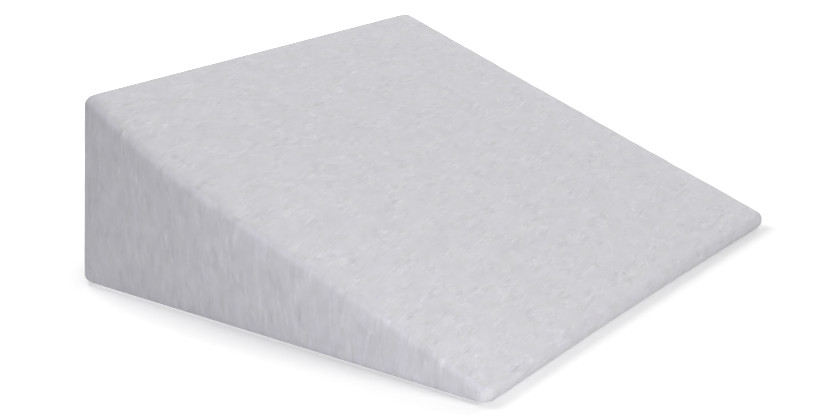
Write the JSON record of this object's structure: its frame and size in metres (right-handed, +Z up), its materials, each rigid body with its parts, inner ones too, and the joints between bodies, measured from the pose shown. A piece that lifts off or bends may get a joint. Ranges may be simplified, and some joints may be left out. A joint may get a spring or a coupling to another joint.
{
  "type": "wedge cushion",
  "caption": "Foam wedge cushion with a sloping top, a thin front lip and a tall back, in a heathered knit cover that zips open along the back.",
  "frame": {"origin": "centre of the base, on the floor", "axes": "+X across the width, -Y towards the low front lip, +Y towards the tall back, +Z up"},
  "size_m": [0.608, 0.5281, 0.2039],
  "materials": {
    "knit_cover": "light cool grey heathered knit, matt, with fine darker streaks",
    "foam": "off-white open-cell polyurethane foam, matt",
    "zip_tape": "grey woven polyester tape",
    "zip_teeth": "light grey moulded plastic, satin",
    "zip_metal": "nickel-plated zinc, satin with worn edges"
  },
  "bodies": {
    "cushion": {"foam_core": "foam", "top_panel": "knit_cover", "left_side_panel": "knit_cover", "right_side_panel": "knit_cover", "back_upper_panel": "knit_cover", "back_lower_panel": "knit_cover", "bottom_panel": "knit_cover", "zip_tape_upper": "zip_tape", "zip_tape_lower": "zip_tape", "zip_teeth_upper": "zip_teeth", "zip_teeth_lower": "zip_teeth", "zip_top_stops": "zip_metal", "zip_bottom_stop": "zip_metal"},
    "slider": {"zip_slider": "zip_metal"},
    "pull": {"zip_pull": "zip_metal"}
  },
  "joints": [
    {"name": "zip_slide", "type": "slide", "parent": "cushion", "child": "slider", "axis": [1, 0, 0], "range_m": [-0.4694, 0], "deforming": ["zip_teeth_upper", "zip_teeth_lower"]},
    {"name": "pull_swing", "type": "hinge", "parent": "slider", "child": "pull", "pos_m": [0.2347, 0.2645, 0.045], "axis": [0, 0, -1], "range_deg": [0, 180]}
  ]
}
